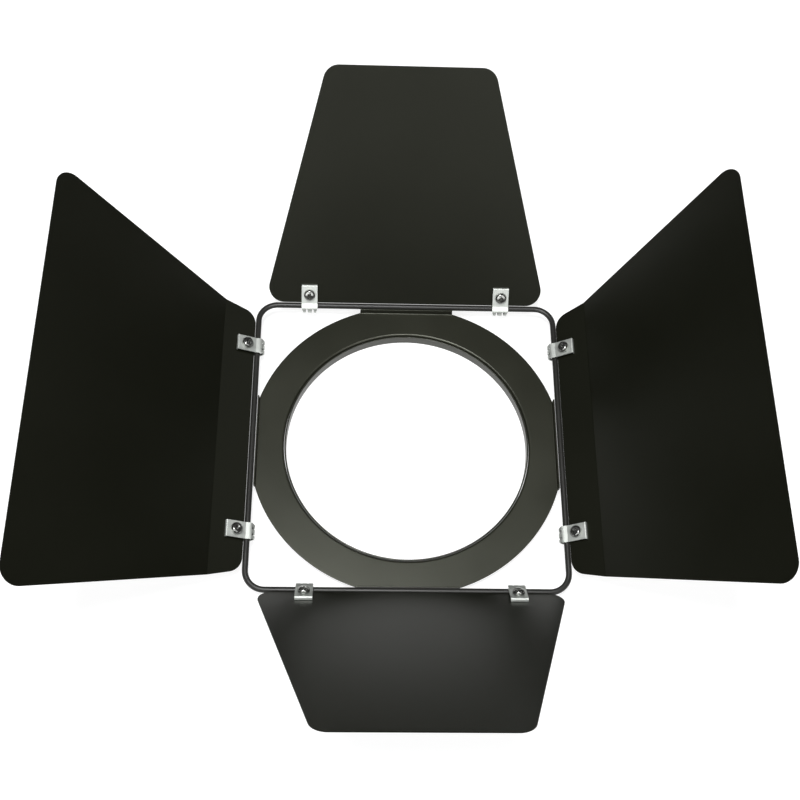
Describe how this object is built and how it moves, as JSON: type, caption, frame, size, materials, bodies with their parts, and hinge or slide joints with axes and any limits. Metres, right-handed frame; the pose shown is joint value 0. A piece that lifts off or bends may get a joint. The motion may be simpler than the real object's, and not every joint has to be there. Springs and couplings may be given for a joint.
{
  "type": "barn door attachment",
  "caption": "Beam-shaping attachment for a stage lantern: a round plate with a collared hole and a square wire frame that carries hinged leaves.",
  "frame": {"origin": "On the surface that the rear rim of the collar stands on, under the middle of the box of the whole part as its leaves are set at rest.", "axes": "+Z is along the beam, out of the front of the plate; +X points at the right-hand large leaf and +Y at the top small leaf, seen from the front with the top leaf up."},
  "size_m": [0.5146, 0.5256, 0.1708],
  "materials": {
    "plate_black": "satin black powder coat, lightly textured",
    "leaf_black": "satin black powder coat, lightly textured",
    "wire_black": "semi-gloss black coating on steel wire",
    "clip_zinc": "bright zinc plate on pressed steel strip",
    "screw_zinc": "bright zinc plate on machine screws, nuts and washers"
  },
  "bodies": {
    "frame": {"ring_plate": "plate_black", "rear_collar": "plate_black", "wire_frame": "wire_black"},
    "leaf_right_assembly": {"leaf_right": "leaf_black", "clip_right_1": "clip_zinc", "screw_right_1": "screw_zinc", "washer_right_1": "screw_zinc", "nut_right_1": "screw_zinc", "clip_right_2": "clip_zinc", "screw_right_2": "screw_zinc", "washer_right_2": "screw_zinc", "nut_right_2": "screw_zinc"},
    "leaf_top_assembly": {"leaf_top": "leaf_black", "clip_top_1": "clip_zinc", "screw_top_1": "screw_zinc", "washer_top_1": "screw_zinc", "nut_top_1": "screw_zinc", "clip_top_2": "clip_zinc", "screw_top_2": "screw_zinc", "washer_top_2": "screw_zinc", "nut_top_2": "screw_zinc"},
    "leaf_left_assembly": {"leaf_left": "leaf_black", "clip_left_1": "clip_zinc", "screw_left_1": "screw_zinc", "washer_left_1": "screw_zinc", "nut_left_1": "screw_zinc", "clip_left_2": "clip_zinc", "screw_left_2": "screw_zinc", "washer_left_2": "screw_zinc", "nut_left_2": "screw_zinc"},
    "leaf_bottom_assembly": {"leaf_bottom": "leaf_black", "clip_bottom_1": "clip_zinc", "screw_bottom_1": "screw_zinc", "washer_bottom_1": "screw_zinc", "nut_bottom_1": "screw_zinc", "clip_bottom_2": "clip_zinc", "screw_bottom_2": "screw_zinc", "washer_bottom_2": "screw_zinc", "nut_bottom_2": "screw_zinc"}
  },
  "joints": [
    {"name": "right_leaf_hinge", "type": "hinge", "parent": "frame", "child": "leaf_right_assembly", "pos_m": [0.13701, -0.00439, 0.0144], "axis": [0, -1, 0], "range_deg": [-53.3, 51.7]},
    {"name": "top_leaf_hinge", "type": "hinge", "parent": "frame", "child": "leaf_top_assembly", "pos_m": [0.01131, 0.11771, 0.0144], "axis": [1, 0, 0], "range_deg": [-43, 84]},
    {"name": "left_leaf_hinge", "type": "hinge", "parent": "frame", "child": "leaf_left_assembly", "pos_m": [-0.11199, -0.00439, 0.0144], "axis": [0, 1, 0], "range_deg": [-43.4, 61.6]},
    {"name": "bottom_leaf_hinge", "type": "hinge", "parent": "frame", "child": "leaf_bottom_assembly", "pos_m": [0.01491, -0.13129, 0.0144], "axis": [-1, 0, 0], "range_deg": [-48.5, 78.5]}
  ]
}
